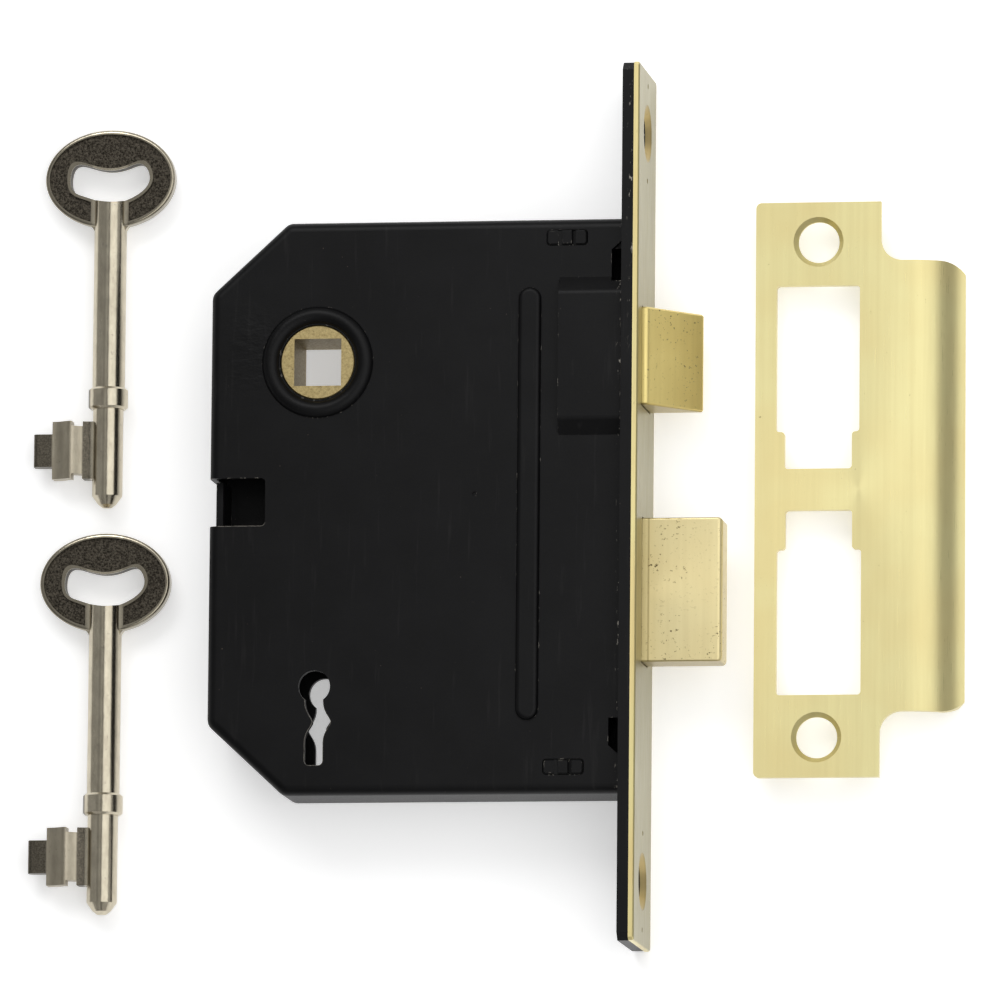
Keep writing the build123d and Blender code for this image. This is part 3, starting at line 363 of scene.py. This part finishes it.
def key_nickel(name, node):
    """Nickel plated casting: polished shank, dark cast grain on the bow's panels and at the bit's end."""
    low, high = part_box(node)
    n = Nodes(name)
    bow_half_width = 11.6 * MM
    bow_half_height = 8.75 * MM
    rim = 0.6 * MM
    panel_half_depth = 0.98 * MM
    shank_radius = 2.9 * MM
    # distances out from the key's axis towards the bit's end
    bit_start = 3.4 * MM
    hollow_end = 4.3 * MM
    shoulder_outer = 9.9 * MM
    shoulder_inner = 9.6 * MM
    # a height on the plain shank, between the bow and the collar, below the bow's middle
    mid_shank_low = 30 * MM
    mid_shank_high = 29 * MM
    axis_x = high.x - bow_half_width
    axis_z = (low.z + high.z) / 2
    bow_y = high.y - bow_half_height
    # panel of the bow: inside the rim, near the recessed floors
    across = n.math("DIVIDE", n.math("SUBTRACT", n.axis("X"), axis_x), bow_half_width - rim)
    along = n.math("DIVIDE", n.math("SUBTRACT", n.axis("Y"), bow_y), bow_half_height - rim)
    reach = n.math("ADD", n.math("POWER", n.math("ABSOLUTE", across), 2.0),
                   n.math("POWER", n.math("ABSOLUTE", along), 2.0))
    in_rim = n.remap(reach, 0.96, 1.04, 1.0, 0.0)
    recessed = n.band("Z", axis_z - panel_half_depth, axis_z + panel_half_depth, 0.06 * MM)
    panel = n.math("MULTIPLY", in_rim, recessed)
    below_bow = n.remap(n.axis("Y"), bow_y - mid_shank_low, bow_y - mid_shank_high, 1.0, 0.0)
    bit = n.math("MULTIPLY", n.remap(n.axis("X"), axis_x - bit_start, axis_x - shank_radius, 1.0, 0.0),
                 below_bow)
    bit_end = n.math("MULTIPLY",
                     n.remap(n.axis("X"), axis_x - shoulder_outer, axis_x - shoulder_inner, 1.0, 0.0),
                     below_bow)
    bit_hollow = n.math("MULTIPLY", n.band("X", axis_x - hollow_end, axis_x - shank_radius, 0.15 * MM),
                        below_bow)
    cast = n.noise(0.30, 4.0, 0.7)
    ripple = n.noise(1.3, 3.0, 0.6, stretch=(1, 2.5, 1))
    polished = n.mix(n.remap(ripple, 0.35, 0.68), nickel_light, nickel_deep)
    # the bow's rim is duller than the turned shank
    bow = n.remap(reach, 1.25, 1.45, 1.0, 0.0)
    off_shank = n.remap(n.math("ABSOLUTE", across), 0.27, 0.31)
    dull = n.math("MULTIPLY", n.math("MULTIPLY", bow, off_shank), 0.6)
    polished = n.mix(dull, polished, nickel_rim)
    grained = n.mix(n.remap(cast, 0.40, 0.64), grain_dark, grain_light)
    colour = n.mix(panel, polished, grained)
    colour = n.mix(n.math("MULTIPLY", bit, 0.35), colour, nickel_bit)
    colour = n.mix(n.math("MULTIPLY", n.math("MAXIMUM", bit_end, bit_hollow), 0.85), colour, grained)
    stain = n.remap(n.noise(0.6, 3.0), 0.66, 0.74)
    colour = n.mix(n.math("MULTIPLY", stain, 0.4), colour, nickel_stain)
    rough = n.mix(n.math("MAXIMUM", panel, bit), (0.20, 0.20, 0.20), (0.38, 0.38, 0.38))
    smooth = n.bump(n.noise(0.5, 3.0, 0.6, stretch=(1, 3, 1)), 0.010)
    rugged = n.math("MULTIPLY", cast, n.math("MAXIMUM", panel, n.math("MULTIPLY", bit, 0.2)))
    return n.finish(colour, rough, 1.0, n.bump(rugged, 0.16, smooth))


shell_paint = black_paint("case_paint", rubbed_x=shell_high.x, patches=True, cut_edge_highlights=True)
paint = black_paint("black_paint")
top_stretch = (forend_high.y - 40 * MM, forend_high.y)
forend_paint = black_paint("forend_paint", rubbed_x=forend_low.x, rubbed_y=top_stretch, edge_chips=0.66)
steel = bright_steel("zinc_steel", zinc_grey, 0.34)
spring = bright_steel("spring_steel", spring_grey, 0.30)
follower_brass = machined_brass("follower_brass")

looks = {
    "case_shell": shell_paint, "case_cover": paint, "forend_lug_upper": paint, "forend_lug_lower": paint,
    "inner_forend": forend_paint,
    "outer_forend": brushed_brass("forend_brass", forend_light, forend_deep, pits=0.7, shaded_front=True),
    "latch_bolt": brushed_brass("latch_brass", latch_light, latch_deep, roughness=0.36, pits=0.9,
                                pit_level=0.65, underside=latch_low.y),
    "deadbolt": brushed_brass("deadbolt_brass", deadbolt_light, deadbolt_deep, pits=0.9,
                              pit_level=0.635, root_line=True, underside=deadbolt_low.y),
    "strike_plate": brushed_brass("strike_brass", strike_light, strike_deep, roughness=0.33),
    "follower": follower_brass, "lever_front": follower_brass, "lever_back": follower_brass,
    "key_1": key_nickel("key_1_nickel", "key_1"), "key_2": key_nickel("key_2_nickel", "key_2"),
}
for name in ("latch_tail", "deadbolt_tail", "latch_rivets", "deadbolt_rivets", "bolt_stump", "lever_pivot",
             "lever_spring_stop", "latch_spring_post", "follower_spring_post", "cover_pillar", "cover_screw"):
    looks[name] = steel
for name in ("latch_spring", "follower_spring", "lever_spring_front", "lever_spring_back"):
    looks[name] = spring
for name, look in looks.items():
    wear(look, name)


# ------------------------------------------------------------ floor and light

def plain(name, colour, roughness):
    n = Nodes(name)
    faint = n.noise(30.0, 2.0)
    tint = n.mix(n.remap(faint, 0.3, 0.7), colour, tuple(0.985 * c for c in colour))
    return n.finish(tint, roughness, 0.0)


floor_half = 3.0
floor_drop = 0.2 * MM
# the floor glows a little, so that shadows on it stay faint
floor_glow = 0.42
floor_mesh = bpy.data.meshes.new("floor")
floor_mesh.from_pydata([(-floor_half, -floor_half, 0), (floor_half, -floor_half, 0),
                        (floor_half, floor_half, 0), (-floor_half, floor_half, 0)], [], [(0, 1, 2, 3)])
floor = bpy.data.objects.new("floor", floor_mesh)
floor.location.z = cad_box[0][2] - floor_drop
table_white = plain("floor_white", (0.93, 0.93, 0.93), 0.8)
table_shader = table_white.node_tree.nodes["Principled BSDF"]
table_shader.inputs["Emission Color"].default_value = (1.0, 1.0, 1.0, 1.0)
table_shader.inputs["Emission Strength"].default_value = floor_glow
floor_mesh.materials.append(table_white)
bpy.context.scene.collection.objects.link(floor)


def studio_world():
    """Pale grey walls under a ceiling that is darker to the left and darkest in a strip overhead."""
    wall_grey = 0.45
    ceiling_start = 0.05
    ceiling_full = 0.35
    # sideways direction from -X to +X, and how bright the ceiling is there
    stops = ((0.0, 0.15), (0.20, 0.18), (0.36, 0.30), (0.44, 0.52),
             (0.50, 0.10), (0.545, 0.10), (0.58, 0.50), (1.0, 0.40))
    world = bpy.data.worlds.new("studio")
    world.use_nodes = True
    tree = world.node_tree
    direction = tree.nodes.new("ShaderNodeTexCoord")
    split = tree.nodes.new("ShaderNodeSeparateXYZ")
    ramp = tree.nodes.new("ShaderNodeValToRGB")
    across = tree.nodes.new("ShaderNodeMapRange")
    across.inputs["From Min"].default_value = -1.0
    tree.links.new(direction.outputs["Generated"], split.inputs[0])
    tree.links.new(split.outputs["X"], across.inputs["Value"])
    tree.links.new(across.outputs["Result"], ramp.inputs["Fac"])
    elements = ramp.color_ramp.elements
    elements.remove(elements[1])
    elements[0].position, elements[0].color = stops[0][0], (stops[0][1],) * 3 + (1.0,)
    for position, level in stops[1:]:
        elements.new(position).color = (level, level, level, 1.0)
    # the walls give way to the ceiling as the direction rises
    rising = tree.nodes.new("ShaderNodeMapRange")
    rising.inputs["From Min"].default_value = ceiling_start
    rising.inputs["From Max"].default_value = ceiling_full
    blend = tree.nodes.new("ShaderNodeMix")
    blend.data_type = "RGBA"
    blend.inputs[6].default_value = (wall_grey, wall_grey, wall_grey, 1.0)
    tree.links.new(split.outputs["Z"], rising.inputs["Value"])
    tree.links.new(rising.outputs["Result"], blend.inputs[0])
    tree.links.new(ramp.outputs["Color"], blend.inputs[7])
    tree.links.new(blend.outputs[2], tree.nodes["Background"].inputs["Color"])
    bpy.context.scene.world = world


studio_world()
bpy.context.scene.view_settings.view_transform = "Standard"


def softbox(name, place, target, size, power):
    """A flat lamp at place, facing target, with its size in metres and its power in watts."""
    light = bpy.data.lights.new(name, "AREA")
    light.shape = "RECTANGLE"
    light.size, light.size_y = size
    light.energy = power
    lamp = bpy.data.objects.new(name, light)
    lamp.location = place
    lamp.rotation_euler = (Vector(target) - Vector(place)).to_track_quat("-Z", "Y").to_euler()
    bpy.context.scene.collection.objects.link(lamp)


middle = (Vector(cad_box[0]) + Vector(cad_box[1])) / 2
softbox("over_light", place=(0.22, 0.05, 0.35), target=(0.22, 0.05, 0.0), size=(0.50, 0.75), power=1.12)
softbox("top_light", place=(-0.25, 0.75, 0.95), target=middle, size=(0.7, 0.5), power=4.0)
softbox("left_light", place=(-0.85, 0.05, 0.60), target=middle, size=(0.4, 0.8), power=0.2)


# ------------------------------------------------------------ camera

camera_azimuth = radians(8.48)
camera_drop = radians(7.83)
camera_roll = radians(0.51)
camera_distance = 2.0
focal_pixels = 11464.0
picture_pixels = 1000.0
sensor_mm = 36.0
aim = Vector((1.84 * MM, 1.45 * MM, 11.0 * MM))

towards = Vector((sin(camera_azimuth) * cos(camera_drop), -sin(camera_drop),
                  cos(camera_azimuth) * cos(camera_drop)))
right = Vector((0, 1, 0)).cross(towards).normalized()
up = towards.cross(right)
rolled_right = right * cos(camera_roll) + up * sin(camera_roll)
rolled_up = up * cos(camera_roll) - right * sin(camera_roll)
camera_data = bpy.data.cameras.new("camera")
camera_data.sensor_width = sensor_mm
camera_data.lens = focal_pixels / picture_pixels * sensor_mm
camera_data.clip_start = 0.05
camera = bpy.data.objects.new("camera", camera_data)
bpy.context.scene.collection.objects.link(camera)
turn = Matrix((rolled_right, rolled_up, towards)).transposed().to_4x4()
camera.matrix_world = Matrix.Translation(aim + towards * camera_distance) @ turn
bpy.context.scene.camera = camera
